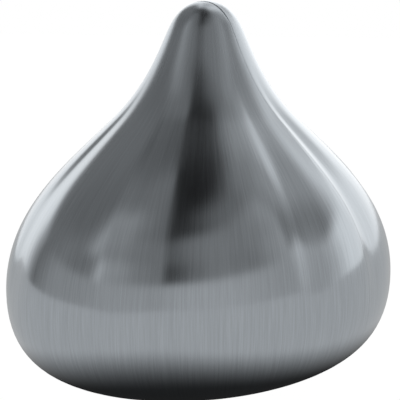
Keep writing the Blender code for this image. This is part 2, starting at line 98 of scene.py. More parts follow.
# Parting plane, how far the halves open, and the frames that lie behind the plane.
PART_Y = -1.5
HINGE_Z = 7.0
OPENING = math.radians(50.0)
RELIEF_ROOM = 0.25
GAP = 0.3
FRAME_FACE = 0.9
FRAME_BACK = 3.1

# Hinge.
KNUCKLE_HALF = 10.0
WASHER = 0.6
WASHER_RADIUS = 3.6
BUSH_RADIUS = 2.9
PIN_END = 18.3
PIN_RADIUS = 1.8
PIN_HEAD_RADIUS = 3.0
PIN_HEAD = 1.0
PIN_TAIL = 1.8
PIN_CLIP = 0.8
PIN_CLIP_RADIUS = 3.0

# Plunger's pivot and the screws of its arm.
FOOT_Z = 32.5
PIVOT_Y = -9.5
PLUNGER_END = 7.1
PLUNGER_PIN_RADIUS = 1.5
PLUNGER_PIN_HEAD_RADIUS = 2.4
PLUNGER_PIN_HEAD = 0.8
PLUNGER_PIN_TAIL = 1.5
PLUNGER_CLIP = 0.7
PLUNGER_CLIP_RADIUS = 2.6
ARM_FLANGE_THICKNESS = 2.0
ARM_FLANGE_END = PART_Y + FRAME_BACK + GAP + ARM_FLANGE_THICKNESS
ARM_SCREW_X = 6.5
ARM_SCREW_HEAD_RADIUS = 2.0
ARM_SCREW_LENGTH = 4.3

# Edges and grooves of turned pieces. A crown is the rounded edge of a front face, as steps along
# the axis and how far each lies inside the full radius.
TURNED_SIDES = 64
PIN_CROWN = ((0, 0.35), (0.12, 0.1), (0.35, 0))
PIN_EDGE = 0.12
PIN_CHAMFER = 0.35
GROOVE_ROOM = 0.05
GROOVE_DEPTH = 0.3
CLIP_GRIP = 0.15
CLIP_EDGE = 0.1
CLIP_MOUTH = 60
RING_EDGE = 0.12

# Bosses and the screws in them.
BOSSES = ((-23.5, 36.0), (23.5, 36.0), (-26.0, 14.0), (26.0, 14.0))
BOSS_RADIUS = 2.7
BOSS_BORE = 1.4
BOSS_EDGE = 0.3
BOSS_SIDES = 40
SCREW_RADIUS = 1.2
SCREW_HEAD_RADIUS = 2.3
SCREW_HEAD = 0.8
SCREW_LENGTH = 6.5
SCREW_SIDES = 40
SCREW_CROWN = ((0, 0.45), (0.12, 0.2), (0.35, 0))
SCREW_NECK = 0.12
SCREW_POINT = 0.5
SCREW_SLOT = (3.3, 0.7, 0.6)
THREAD_PITCH = 0.6
THREAD_DEPTH = 0.2
THREAD_MARGIN = 0.3

# Magnets in the tip.
MAGNET_Z = 58.0
MAGNET_RADIUS = 3.0
MAGNET_THICKNESS = 1.7
MAGNET_PROUD = 0.4
MAGNET_CROWN = ((0, 0.25), (0.08, 0.08), (0.25, 0))
MAGNET_EDGE = 0.2

# Basket and the sieve plate in it.
BASKET_Z = 33.0
BASKET_INSIDE = (24.0, 22.0)
BASKET_DEPTH = 18.6
BASKET_LEDGE_THICKNESS = 1.0
SIEVE_THICKNESS = 1.2
SIEVE_CORNER = 1.7
SIEVE_CORNER_STEPS = 8
SIEVE_EDGE = 0.1
SIEVE_HOLE_RADIUS = 0.9
SIEVE_HOLE_SIDES = 28
SIEVE_PITCH = 2.9
SIEVE_COLUMNS = 7
SIEVE_ROWS = 6
PUNCH_LENGTH = 6.0

# Angles in degrees above which an edge stays crisp or gets rounded.
SHARP_ON_SHELL = 50
SHARP_ON_BOSS = 40
SHARP_ON_TURNED = 30
SOFT_ABOVE = 35

# Softened edges of the carried-over pieces: their widths and how many steps round them.
CAST_EDGE = 0.2
BASKET_EDGE = 0.25
RUBBER_EDGE = 0.2
SOFT_STEPS = 3

# Camera: turned round the bulb, looking slightly down at a point a little off its axis.
VIEW_AZIMUTH = math.radians(28.65)
VIEW_ELEVATION = math.radians(9.12)
VIEW_DISTANCE = 231.2
VIEW_SIDE = -1.11
VIEW_HEIGHT = 34.08
LENS = 104.7
SENSOR = 36.0
NEAREST = 0.01

SIDE_WAY = Vector((math.cos(VIEW_AZIMUTH), math.sin(VIEW_AZIMUTH), 0))
FRONT_WAY = Vector((math.sin(VIEW_AZIMUTH), -math.cos(VIEW_AZIMUTH), 0))


# ---- shader wiring ------------------------------------------------------------------------

class Wire:
    """A node socket that takes part in Python expressions."""

    def __init__(self, bench, socket):
        self.bench = bench
        self.socket = socket

    def maths(self, operation, *others):
        return self.bench.add("ShaderNodeMath", {"operation": operation}, {
            i: value for i, value in enumerate((self, *others))})

    def __add__(self, other):
        return self.maths("ADD", other)

    def __radd__(self, other):
        return self.maths("ADD", other)

    def __sub__(self, other):
        return self.maths("SUBTRACT", other)

    def __rsub__(self, other):
        return (self * -1).maths("ADD", other)

    def __mul__(self, other):
        return self.maths("MULTIPLY", other)

    def __rmul__(self, other):
        return self.maths("MULTIPLY", other)

    def __truediv__(self, other):
        return self.maths("DIVIDE", other)

    def __rtruediv__(self, other):
        return (self ** -1) * other

    def __pow__(self, other):
        return self.maths("POWER", other)

    def step(self, low, high):
        """Smoothly 0 to 1 between low and high."""
        return self.bench.add("ShaderNodeMapRange", {"interpolation_type": "SMOOTHSTEP"}, {
            "Value": self, "From Min": low, "From Max": high})


class Bench:
    """Adds nodes to one tree."""

    def __init__(self, tree):
        self.tree = tree
        tree.nodes.clear()

    def add(self, kind, settings=None, sockets=None, out=0):
        node = self.tree.nodes.new(kind)
        for key, value in (settings or {}).items():
            if key == "stops":
                self.set_stops(node.color_ramp, value)
            else:
                setattr(node, key, value)
        for key, value in (sockets or {}).items():
            if isinstance(value, Wire):
                self.tree.links.new(value.socket, node.inputs[key])
            else:
                node.inputs[key].default_value = value
        return Wire(self, node.outputs[out]) if len(node.outputs) else None

    @staticmethod
    def set_stops(ramp, stops):
        while len(ramp.elements) < len(stops):
            ramp.elements.new(1.0)
        for element, (place, colour) in zip(ramp.elements, stops):
            element.position = place
            element.color = (*colour, 1.0)

    def split(self, vector):
        """The x, y and z of a vector."""
        first = self.add("ShaderNodeSeparateXYZ", None, {0: vector})
        return [Wire(self, socket) for socket in first.socket.node.outputs]

    def place(self):
        """Where a point lies in its object."""
        return self.add("ShaderNodeTexCoord", out="Object")

    def noise(self, place, scale, detail, roughness):
        return self.add("ShaderNodeTexNoise", None, {
            "Vector": place, "Scale": scale, "Detail": detail, "Roughness": roughness})

    def mix(self, factor, a, b):
        """Colour mix from a to b."""
        return self.add("ShaderNodeMix", {"data_type": "RGBA"}, {0: factor, 6: a, 7: b}, out=2)

    def seen_as(self, direct, reflected):
        """One colour where the camera sees it directly, and another in reflections."""
        return self.mix(self.add("ShaderNodeLightPath", out="Is Camera Ray"), reflected, direct)

    def surface(self, sockets):
        """The tree's surface, with what its sockets are set to."""
        shade = self.add("ShaderNodeBsdfPrincipled", None, sockets)
        self.add("ShaderNodeOutputMaterial", None, {"Surface": shade})


def grey(value):
    return (value, value, value, 1.0)


def toned(colour, factor):
    """The colour made darker or lighter."""
    return tuple(min(c * factor, 1) for c in colour) + (1,)


def new_look(name):
    """An empty material, and the bench that its nodes are added on."""
    look = bpy.data.materials.new(name)
    look.use_nodes = True
    return look, Bench(look.node_tree)


def put_in_scene(name, data):
    made = bpy.data.objects.new(name, data)
    bpy.context.scene.collection.objects.link(made)
    return made


# ---- world, floor and camera --------------------------------------------------------------

# Brightness of the studio round the bulb, by azimuth from the camera in degrees, at five
# heights above the horizon: a white wall behind, soft lights at the right and the left, and a
# dark gap near the camera. Each change gives the elevations between which one ring turns into
# the next.
LOW_RING = (
    (-180, 1.5), (-164, 1.1), (-152, 1.1), (-136, 1.05), (-126, 0.50), (-114, 0.16), (-92, 0.34),
    (-56, 0.36), (-36, 0.42), (-8, 0.40), (10, 0.46), (30, 0.49), (52, 0.45), (72, 0.40), (86, 0.40),
    (100, 0.62), (112, 0.95), (128, 0.95), (144, 1.10), (164, 1.4), (180, 1.5))
MIDDLE_RING = (
    (-180, 1.2), (-168, 0.90), (-156, 0.20), (-116, 0.18), (-90, 0.24), (-68, 0.19), (-56, 0.24),
    (-47, 0.60), (-40, 0.38), (-28, 0.28), (-12, 0.23), (-3, 0.25), (2, 0.06), (11, 0.07),
    (22, 0.17), (36, 0.27), (58, 0.22), (74, 0.36), (86, 0.42), (95, 0.24), (106, 0.22),
    (117, 0.42), (130, 0.88), (144, 0.60), (156, 0.50), (168, 1.1))
UPPER_RING = (
    (-180, 1.2), (-164, 0.15), (-143, 0.22), (-116, 0.18), (-90, 0.17), (-78, 0.22), (-64, 0.46),
    (-50, 0.33), (-38, 0.26), (-18, 0.22), (-4, 0.25), (3, 0.12), (13, 0.15), (24, 0.22),
    (40, 0.27), (62, 0.25), (76, 0.30), (88, 0.40), (97, 0.28), (109, 0.40), (118, 0.34),
    (128, 0.65), (138, 0.95), (150, 0.95), (164, 0.60))
STEEP_RING = (
    (-180, 1.2), (-164, 0.15), (-143, 0.22), (-116, 0.19), (-90, 0.17), (-78, 0.24), (-64, 0.40),
    (-48, 0.28), (-30, 0.19), (-12, 0.19), (-3, 0.16), (4, 0.03), (30, 0.03), (44, 0.12),
    (58, 0.18), (72, 0.18), (85, 0.18), (96, 0.26), (110, 0.26), (118, 0.36),
    (128, 0.60), (138, 0.95), (150, 0.95), (164, 0.60))
HIGH_RING = (
    (-180, 0.08), (-138, 0.10), (-116, 0.16), (-95, 0.22), (-60, 0.21), (-10, 0.19), (4, 0.08),
    (14, 0.02), (60, 0.01), (108, 0.02), (140, 0.05))
RINGS = (LOW_RING, MIDDLE_RING, UPPER_RING, STEEP_RING, HIGH_RING)
RING_CHANGES = ((18, 26), (32, 44), (51, 60), (62, 73))
BRIGHTEST = 2.0


def studio():
    """The room: its lights and dark gaps show in reflections, and seen directly it is white."""
    world = bpy.data.worlds.new("studio")
    bpy.context.scene.world = world
    world.use_nodes = True
    bench = Bench(world.node_tree)
    x, y, z = bench.split(bench.add("ShaderNodeTexCoord", out="Generated"))
    front = x * FRONT_WAY.x + y * FRONT_WAY.y
    side = x * SIDE_WAY.x + y * SIDE_WAY.y
    turn = side.maths("ARCTAN2", front) * (0.5 / math.pi) + 0.5
    rings = []
    for ring in RINGS:
        stops = [((azimuth + 180) / 360, (value / BRIGHTEST,) * 3) for azimuth, value in ring]
        rings.append(bench.add("ShaderNodeValToRGB", {"stops": stops}, {"Fac": turn}))
    height = z.maths("ARCSINE") * (180 / math.pi)
    room = rings[0]
    for (low, high), ring in zip(RING_CHANGES, rings[1:]):
        room = bench.mix(height.step(low, high), room, ring)
    light = bench.seen_as(grey(1 / BRIGHTEST), room)
    back = bench.add("ShaderNodeBackground", None, {"Color": light, "Strength": BRIGHTEST})
    bench.add("ShaderNodeOutputWorld", None, {"Surface": back})


# Floor, and the painted shade under the bulb in reflections, which dims the floor's glow: its reach
# in metres along two axes turned from the floor's own, the shares of it where the painted shade
# starts and stops to fade, and how bright the floor glows within and beyond it.
FLOOR_HALF = 3.0
FLOOR_DROP = 0.0001
SHADE_TURN = math.radians(14)
SHADE_SIDE = 0.0315
SHADE_FRONT = 0.0475
SHADE_FADE = (0.80, 1.52)
SHADE_GLOW = 0.015
FLOOR_GLOW = 0.50
FLOOR_COLOUR = 0.03


def floor():
    """Floor that glows a plain pale white seen directly, with a painted shade in its glow in
    reflections.
    """
    bm = bmesh.new()
    bmesh.ops.create_grid(bm, x_segments=2, y_segments=2, size=FLOOR_HALF)
    mesh = bpy.data.meshes.new("floor")
    bm.to_mesh(mesh)
    bm.free()
    plane = put_in_scene("floor", mesh)
    plane.location.z = -FLOOR_DROP
    look, bench = new_look("pale floor")
    x, y, _ = bench.split(bench.place())
    side = x * math.cos(SHADE_TURN) + y * math.sin(SHADE_TURN)
    front = x * math.sin(SHADE_TURN) - y * math.cos(SHADE_TURN)
    reach = ((side / SHADE_SIDE) ** 2 + (front / SHADE_FRONT) ** 2) ** 0.5
    # Painted shade: the floor's glow is dimmed near the bulb, and only reflections show it.
    painted_shade_glow = bench.mix(reach.step(*SHADE_FADE), grey(SHADE_GLOW), grey(FLOOR_GLOW))
    bench.surface({
        "Base Color": grey(FLOOR_COLOUR), "Roughness": 0.8, "Specular IOR Level": 0.0,
        "Emission Color": bench.seen_as(grey(1.0), painted_shade_glow), "Emission Strength": 1.0})
    mesh.materials.append(look)


def camera():
    """Camera with the bulb in the middle of its view."""
    data = bpy.data.cameras.new("camera")
    data.lens = LENS
    data.sensor_width = SENSOR
    data.clip_start = NEAREST
    eye = put_in_scene("camera", data)
    back = FRONT_WAY * math.cos(VIEW_ELEVATION) + Vector((0, 0, math.sin(VIEW_ELEVATION)))
    target = (SIDE_WAY * VIEW_SIDE + Vector((0, 0, VIEW_HEIGHT))) * MM
    eye.location = target + back * VIEW_DISTANCE * MM
    eye.rotation_euler = (-back).to_track_quat("-Z", "Y").to_euler()
    bpy.context.scene.camera = eye


# ---- finishes -----------------------------------------------------------------------------

# Hairlines on the skin: how much they are drawn out along the bulb, how fine they are, and what
# they do to colour, roughness and relief.
STEEL_COLOUR = (0.565, 0.61, 0.65)
STEEL_ROUGHNESS = 0.17
STEEL_GRAIN_PULL = 0.3
HAIR_STRETCH = 0.03
FINE_HAIRS = 4200.0
COARSE_HAIRS = 1300.0
COARSE_SHARE = 0.3
HAIR_CONTRAST = 1.4
HAIR_DARK = 0.91
HAIR_BRIGHT = 1.08
HAIR_ROUGHNESS = 0.08
HAIR_RELIEF = 0.06
HAIR_DEPTH = 0.00004
AXIS_GUARD = 0.00001
# Heights in metres between which the steel gets duller towards the tip, and by how much.
NECK_RISE = (0.044, 0.060)
NECK_DULLING = 0.09

# Other finishes: a fine grain over a broad unevenness.
GRAIN_SCALE = 3500.0
UNEVEN_SCALE = 140.0
UNEVEN_SHARE = 0.8
GRAIN_DEPTH = 0.00005


def brushed_steel(name):
    """Satin steel with hairlines that run up the bulb to its tip."""
    look, bench = new_look(name)
    x, y, z = bench.split(bench.place())
    y = y / DEPTH_RATIO
    spread = BELLY_RADIUS * MM / ((x * x + y * y) ** 0.5 + AXIS_GUARD)
    lines = bench.add("ShaderNodeCombineXYZ", None, {
        0: x * spread, 1: y * spread, 2: z * HAIR_STRETCH})
    fine = bench.noise(lines, FINE_HAIRS, detail=3.0, roughness=0.6)
    coarse = bench.noise(lines, COARSE_HAIRS, detail=2.0, roughness=0.5)
    hair = (fine - 0.5) + (coarse - 0.5) * COARSE_SHARE
    tone = bench.mix((hair * HAIR_CONTRAST + 0.5).step(0.0, 1.0),
                     toned(STEEL_COLOUR, HAIR_DARK), toned(STEEL_COLOUR, HAIR_BRIGHT))
    rough = hair * HAIR_ROUGHNESS + z.step(*NECK_RISE) * NECK_DULLING + STEEL_ROUGHNESS
    bump = bench.add("ShaderNodeBump", None, {
        "Strength": HAIR_RELIEF, "Distance": HAIR_DEPTH, "Height": hair})
    bench.surface({"Base Color": tone, "Metallic": 1.0, "Roughness": rough, "Normal": bump,
                   "Anisotropic": STEEL_GRAIN_PULL})
    return look


def ground_finish(name, colour, roughness, grain, metallic=1.0):
    """Fine-grained surface with slight uneven wear."""
    look, bench = new_look(name)
    place = bench.place()
    fine = bench.noise(place, GRAIN_SCALE, detail=2.0, roughness=0.6)
    broad = bench.noise(place, UNEVEN_SCALE, detail=3.0, roughness=0.5)
    uneven = (fine - 0.5) + (broad - 0.5) * UNEVEN_SHARE
    tone = bench.mix((uneven + 0.5).step(0.0, 1.0), toned(colour, 1 - grain),
                     toned(colour, 1 + grain))
    bump = bench.add("ShaderNodeBump", None, {
        "Strength": grain, "Distance": GRAIN_DEPTH, "Height": fine})
    bench.surface({"Base Color": tone, "Metallic": metallic, "Normal": bump,
                   "Roughness": uneven * (grain * 2) + roughness})
    return look


# ---- mesh helpers -------------------------------------------------------------------------

def smooth(mesh, sharp):
    """Shade smooth, apart from edges sharper than this many degrees."""
    mesh.shade_smooth()
    mesh.set_sharp_from_angle(angle=math.radians(sharp))


def to_object(name, bm, look=None, sharp=SHARP_ON_TURNED):
    """An object in metres from a millimetre bmesh; without a finish it is only a cutter."""
    bm.transform(Matrix.Scale(MM, 4))
    mesh = bpy.data.meshes.new(name)
    bm.to_mesh(mesh)
    bm.free()
    if look is not None:
        mesh.materials.append(look)
        smooth(mesh, sharp)
    return put_in_scene(name, mesh)


def slice_across(bm, y, way, drop=False):
    """Cut the mesh along the plane at y, and with drop remove what lies beyond it."""
    return bmesh.ops.bisect_plane(bm, geom=bm.verts[:] + bm.edges[:] + bm.faces[:],
                                  plane_co=(0, y, 0), plane_no=(0, way, 0), clear_outer=drop)


def join_loops(bm, loops):
    """Faces between each closed loop of points and the next."""
    for here, there in zip(loops, loops[1:]):
        for i in range(len(here)):
            j = (i + 1) % len(here)
            bm.faces.new((here[i], here[j], there[j], there[i]))


def cut_away(target, tool, sharp=SHARP_ON_TURNED):
    """Cut tool out of target for good, remove the tool and shade the target again."""
    step = target.modifiers.new("cut", "BOOLEAN")
    step.operation = "DIFFERENCE"
    step.solver = "EXACT"
    step.object = tool
    depsgraph = bpy.context.evaluated_depsgraph_get()
    mesh = bpy.data.meshes.new_from_object(target.evaluated_get(depsgraph))
    target.modifiers.remove(step)
    old, target.data = target.data, mesh
    bpy.data.meshes.remove(old)
    bpy.data.objects.remove(tool)
    smooth(mesh, sharp)


def stand_in(made, node, body):
    """Make a finished piece take the place of a CAD node."""
    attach(made, body)
    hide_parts(node)


# ---- the bulb's skin ----------------------------------------------------------------------

def smooth_step(value):
    value = min(max(value, 0.0), 1.0)
    return value * value * (3 - 2 * value)


def bezier(points, t):
    """Point and direction on a cubic curve through (radius, z) control points."""
    a, b, c, d = (Vector(p) for p in points)
    u = 1 - t
    place = a * u ** 3 + b * 3 * t * u * u + c * 3 * t * t * u + d * t ** 3
    along = (b - a) * 3 * u * u + (c - b) * 6 * t * u + (d - c) * 3 * t * t
    return place, along


def bulb_curves():
    """The outline from base to top, as four cubic curves."""
    lean = Vector((-math.cos(NECK_LEAN), math.sin(NECK_LEAN)))
    rise = Vector((-math.sin(TIP_LEAN), math.cos(TIP_LEAN)))
    base = Vector((BASE_RADIUS, 0))
    belly = Vector((BELLY_RADIUS, BELLY_Z))
    neck = Vector((NECK_RADIUS, NECK_Z))
    tip = Vector((TIP_RADIUS, TIP_Z))
    top = Vector((0, BULB_HEIGHT))
    return (
        (base, base + Vector((BASE_HANDLE, 0)), belly - Vector((0, BELLY_HANDLES[0])), belly),
        (belly, belly + Vector((0, BELLY_HANDLES[1])), neck - lean * NECK_HANDLES[0], neck),
        (neck, neck + lean * NECK_HANDLES[1], tip - rise * TIP_HANDLES[0], tip),
        (tip, tip + rise * TIP_HANDLES[1], top + Vector((TOP_HANDLE, 0)), top),
    )


def bulb_stations(rows):
    """Points and directions up the outline, without the two ends on the axis."""
    stations = []
    for curve, steps in zip(bulb_curves(), rows):
        for i in range(steps):
            stations.append(bezier(curve, i / steps))
    return stations


def crease(azimuth, height):
    """How far the skin lies in at this place, because of the creases."""
    fade = smooth_step((CREASE_TOP - height) / CREASE_TOP_FADE)
    fade *= smooth_step((height - CREASE_BOTTOM) / CREASE_BOTTOM_FADE)
    total = 0.0
    for degrees, before, after, depth in CREASES:
        off = math.remainder(azimuth - math.radians(degrees), 2 * math.pi)
        width = math.radians(before if off < 0 else after)
        total += depth * math.exp(-(off / width) ** 2)
    return fade * total


def bulb_point(station, azimuth, inset):
    """Point of the skin, moved inwards by inset, and its outward direction."""
    (radius, height), (out, up) = station
    sine, cosine = math.sin(azimuth), math.cos(azimuth)
    normal = Vector((DEPTH_RATIO * up * sine, -up * cosine, -DEPTH_RATIO * out)).normalized()
    place = Vector((radius * sine, -DEPTH_RATIO * radius * cosine, height + SHELL_Z))
    return place - normal * (inset + crease(azimuth, height)), normal


def bulb_surface(bm, rows, columns, inset, way=None):
    """The whole skin as a closed surface; way is a layer that keeps each point's direction."""
    rings = []
    for station in bulb_stations(rows):
        ring = []
        for i in range(columns):
            place, normal = bulb_point(station, 2 * math.pi * i / columns, inset)
            ring.append(bm.verts.new(place))
            if way is not None:
                ring[-1][way] = normal
        rings.append(ring)
    top = bm.verts.new((0, 0, BULB_HEIGHT + SHELL_Z - inset))
    under = bm.verts.new((0, 0, SHELL_Z + inset))
    if way is not None:
        top[way] = (0, 0, 1)
        under[way] = (0, 0, -1)
    join_loops(bm, rings)
    for i in range(columns):
        j = (i + 1) % columns
        bm.faces.new((rings[-1][i], rings[-1][j], top))
        bm.faces.new((rings[0][j], rings[0][i], under))


def rim_push(side, depth, height):
    """How far the skin is drawn in at the parting plane: a chamfer on the front half's tip, and
    a small edge radius that is broadest over the tip."""
    tip = smooth_step((height - RIM_TIP_Z) / RIM_TIP_RISE)
    push = RIM_SLOPE * max(RIM_CHAMFER * tip - depth, 0) if side < 0 else 0.0
    radius = RIM_EDGE_AT_BELLY + (RIM_EDGE_AT_TIP - RIM_EDGE_AT_BELLY) * tip
    if depth < radius:
        push += radius - math.sqrt(radius ** 2 - (radius - max(depth, 0.0)) ** 2)
    return push


def half_shell(name, side):
    """One sheet-steel half: the outer skin cut at the parting plane, its rounded rim and inside."""
    bm = bmesh.new()
    way = bm.verts.layers.float_vector.new("way")
    bulb_surface(bm, SKIN_ROWS, SKIN_COLUMNS, SKIN_INSET, way)
    plane_y = PART_Y + side * SEAM_GAP / 2
    slice_across(bm, plane_y, -side, drop=True)
    for offset in RIM_LOOPS:
        slice_across(bm, plane_y + side * offset, side)
    bmesh.ops.remove_doubles(bm, verts=bm.verts[:], dist=MERGE_DISTANCE)
    outer = bm.verts[:]
    partner = {}
    for vert in outer:
        inside = vert.co - vert[way].normalized() * WALL
        if side * (inside.y - plane_y) < 0:
            inside.y = plane_y
        partner[vert] = bm.verts.new(inside)
    skin = bm.faces[:]
    rim = [e for e in bm.edges if e.is_boundary]
    for face in skin:
        bm.faces.new([partner[v] for v in reversed(face.verts)])
    for edge in rim:
        a, b = edge.verts
        bm.faces.new((a, b, partner[b], partner[a]))
    for vert in outer:
        depth = side * (vert.co.y - plane_y)
        vert.co -= vert[way].normalized() * rim_push(side, depth, vert.co.z - SHELL_Z)
    bmesh.ops.recalc_face_normals(bm, faces=bm.faces)
    return to_object(name, bm, SHELL_LOOK, SHARP_ON_SHELL)


def relief_of_front():
    """The front half with a little room round it, turned to where it lies when fully open."""
    bm = bmesh.new()
    bulb_surface(bm, RELIEF_ROWS, RELIEF_COLUMNS, -RELIEF_ROOM)
    cut = slice_across(bm, PART_Y, 1, drop=True)
    edges = [e for e in cut["geom_cut"] if isinstance(e, bmesh.types.BMEdge)]
    bmesh.ops.contextual_create(bm, geom=edges)
    hinge = Vector((0, PART_Y, HINGE_Z))
    bm.transform(Matrix.Translation(hinge) @ Matrix.Rotation(OPENING, 4, "X")
                 @ Matrix.Translation(-hinge))
    return to_object("rim_relief", bm)


def bosses(name, side, skin, body):
    """Screw bosses from the frame to the inside of the skin, each with its blind bore."""
    inside = BVHTree.FromObject(skin, bpy.context.evaluated_depsgraph_get())
    start = PART_Y + side * (FRAME_BACK + GAP)
    for number, (x, z) in enumerate(BOSSES, 1):
        bm = bmesh.new()
        loops = [[], [], [], [], []]
        for i in range(BOSS_SIDES):
            turn = 2 * math.pi * i / BOSS_SIDES
            px, pz = math.cos(turn), math.sin(turn)
            point = Vector((x + BOSS_RADIUS * px, start, z + BOSS_RADIUS * pz))
            wall_y = inside.ray_cast(point * MM, Vector((0, side, 0)))[0].y / MM
            profile = ((BOSS_BORE, start + side * SCREW_LENGTH), (BOSS_BORE, start),
                       (BOSS_RADIUS - BOSS_EDGE, start), (BOSS_RADIUS, start + side * BOSS_EDGE),
                       (BOSS_RADIUS, wall_y + side * WALL / 2))
            for loop, (radius, y) in zip(loops, profile):
                loop.append(bm.verts.new((x + radius * px, y, z + radius * pz)))
        join_loops(bm, loops)
        bm.faces.new(loops[0])
        bm.faces.new(loops[-1])
        bmesh.ops.recalc_face_normals(bm, faces=bm.faces)
        made = to_object("%s_%d" % (name, number), bm, BOSS_LOOK, SHARP_ON_BOSS)
        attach(made, body)


def shells():
    """Both halves with their bosses; the rear rim is cut back to clear the front half when open."""
    for half, side in (("front", -1), ("rear", 1)):
        body = half + "_half"
        skin = half_shell(half + "_skin", side)
        if side > 0:
            cut_away(skin, relief_of_front(), SHARP_ON_SHELL)
        stand_in(skin, half + "_shell", body)
        bosses(half + "_boss", side, skin, body)


# ---- turned and small pieces --------------------------------------------------------------

# The way in which a piece's profile runs, for the half on either side of the parting plane.
INTO_HALF = {-1: "-Y", 1: "Y"}


def turned(name, profile, place, along, look, closed=False, sides=TURNED_SIDES, start=0.0,
           sweep=2 * math.pi):
    """Lathe a profile of (distance, radius) about the axis through place: X, Y or -Y."""
    bm = bmesh.new()
    full = sweep >= 2 * math.pi
    columns = sides if full else sides + 1
    rows = []
    for distance, radius in profile:
        row = []
        for i in range(columns if radius > 0 else 1):
            turn = start + sweep * i / sides
            a, b = radius * math.cos(turn), radius * math.sin(turn)
            offset = {"X": (distance, a, b), "Y": (a, distance, b), "-Y": (a, -distance, b)}[along]
            row.append(bm.verts.new(Vector(place) + Vector(offset)))
        rows.append(row)
    pairs = list(zip(rows, rows[1:])) + ([(rows[-1], rows[0])] if closed else [])
    for here, there in pairs:
        for i in range(sides):
            j = (i + 1) % columns
            corners = [here[i % len(here)], here[j % len(here)],
                       there[j % len(there)], there[i % len(there)]]
            corners = list(dict.fromkeys(corners))
            if len(corners) > 2:
                bm.faces.new(corners)
    if not full:
        bm.faces.new([row[0] for row in rows])
        bm.faces.new([row[-1] for row in rows])
    bmesh.ops.recalc_face_normals(bm, faces=bm.faces)
    return to_object(name, bm, look)


def crown(face, radius, steps):
    """Profile points of the rounded edge round a front face."""
    return [(face + distance, radius - inside) for distance, inside in steps]


def headed_pin(node, end, place, radius, head_radius, head, tail, groove, body):
    """Pin with a crowned head at one end and the groove for its clip near the other."""
    face = -end - head
    groove_low, groove_high = end - GROOVE_ROOM, end + groove + GROOVE_ROOM
    profile = [
        (face, 0), *crown(face, head_radius, PIN_CROWN), (-end - PIN_EDGE, head_radius),
        (-end, head_radius - PIN_EDGE), (-end, radius), (groove_low, radius),
        (groove_low, radius - GROOVE_DEPTH), (groove_high, radius - GROOVE_DEPTH),
        (groove_high, radius), (end + tail - PIN_CHAMFER, radius),
        (end + tail, radius - PIN_CHAMFER), (end + tail, 0)]
    stand_in(turned(node + "_turned", profile, place, "X", BRIGHT_LOOK), node, body)


def spring_clip(node, x0, x1, place, outer, inner, body):
    """Open ring that snaps into the pin's groove, its mouth at the bottom."""
    profile = ((x0, inner), (x0, outer - CLIP_EDGE), (x0 + CLIP_EDGE, outer),
               (x1 - CLIP_EDGE, outer), (x1, outer - CLIP_EDGE), (x1, inner))
    made = turned(node + "_open", profile, place, "X", NICKEL_LOOK, closed=True,
                  start=math.radians(CLIP_MOUTH / 2 - 90), sweep=math.radians(360 - CLIP_MOUTH))
    stand_in(made, node, body)


def ring_piece(node, x0, x1, place, outer, inner, body):
    """Nylon washer or bush with its edges broken."""
    low, high = sorted((x0, x1))
    profile = (
        (low, inner + RING_EDGE), (low, outer - RING_EDGE), (low + RING_EDGE, outer),
        (high - RING_EDGE, outer), (high, outer - RING_EDGE), (high, inner + RING_EDGE),
        (high - RING_EDGE, inner), (low + RING_EDGE, inner))
    stand_in(turned(node + "_turned", profile, place, "X", NYLON_LOOK, closed=True), node, body)


def hinge():
    """Pin across the foot with its clip, two washers and the bush that turns on it."""
    axis = (0, PART_Y, HINGE_Z)
    headed_pin("hinge_pin", PIN_END, axis, PIN_RADIUS, PIN_HEAD_RADIUS, PIN_HEAD, PIN_TAIL, PIN_CLIP,
               "front_half")
    spring_clip("hinge_pin_clip", PIN_END, PIN_END + PIN_CLIP, axis, PIN_CLIP_RADIUS,
                PIN_RADIUS - CLIP_GRIP, "front_half")
    for name, side in (("hinge_washer_left", -1), ("hinge_washer_right", 1)):
        start = side * (KNUCKLE_HALF + GAP)
        ring_piece(name, start, start + side * WASHER, axis, WASHER_RADIUS, PIN_RADIUS + GAP,
                   "front_half")
    ring_piece("hinge_bush", -KNUCKLE_HALF, KNUCKLE_HALF, axis, BUSH_RADIUS, PIN_RADIUS + GAP,
               "rear_half")


def plunger_pivot():
    """Pin that the plunger's foot swivels on, with its clip."""
    axis = (0, PIVOT_Y, FOOT_Z)
    headed_pin("plunger_pin", PLUNGER_END, axis, PLUNGER_PIN_RADIUS, PLUNGER_PIN_HEAD_RADIUS,
               PLUNGER_PIN_HEAD, PLUNGER_PIN_TAIL, PLUNGER_CLIP, "rear_half")
    spring_clip("plunger_pin_clip", PLUNGER_END, PLUNGER_END + PLUNGER_CLIP, axis,
                PLUNGER_CLIP_RADIUS, PLUNGER_PIN_RADIUS - CLIP_GRIP, "rear_half")


def magnet(node, side, body):
    """Plated disc that stands a little proud of its frame."""
    low = FRAME_FACE - MAGNET_PROUD
    high = low + MAGNET_THICKNESS
    profile = [(low, 0), *crown(low, MAGNET_RADIUS, MAGNET_CROWN),
               (high - MAGNET_EDGE, MAGNET_RADIUS), (high, MAGNET_RADIUS - MAGNET_EDGE), (high, 0)]
    made = turned(node + "_disc", profile, (0, PART_Y, MAGNET_Z), INTO_HALF[side], NICKEL_LOOK)
    stand_in(made, node, body)


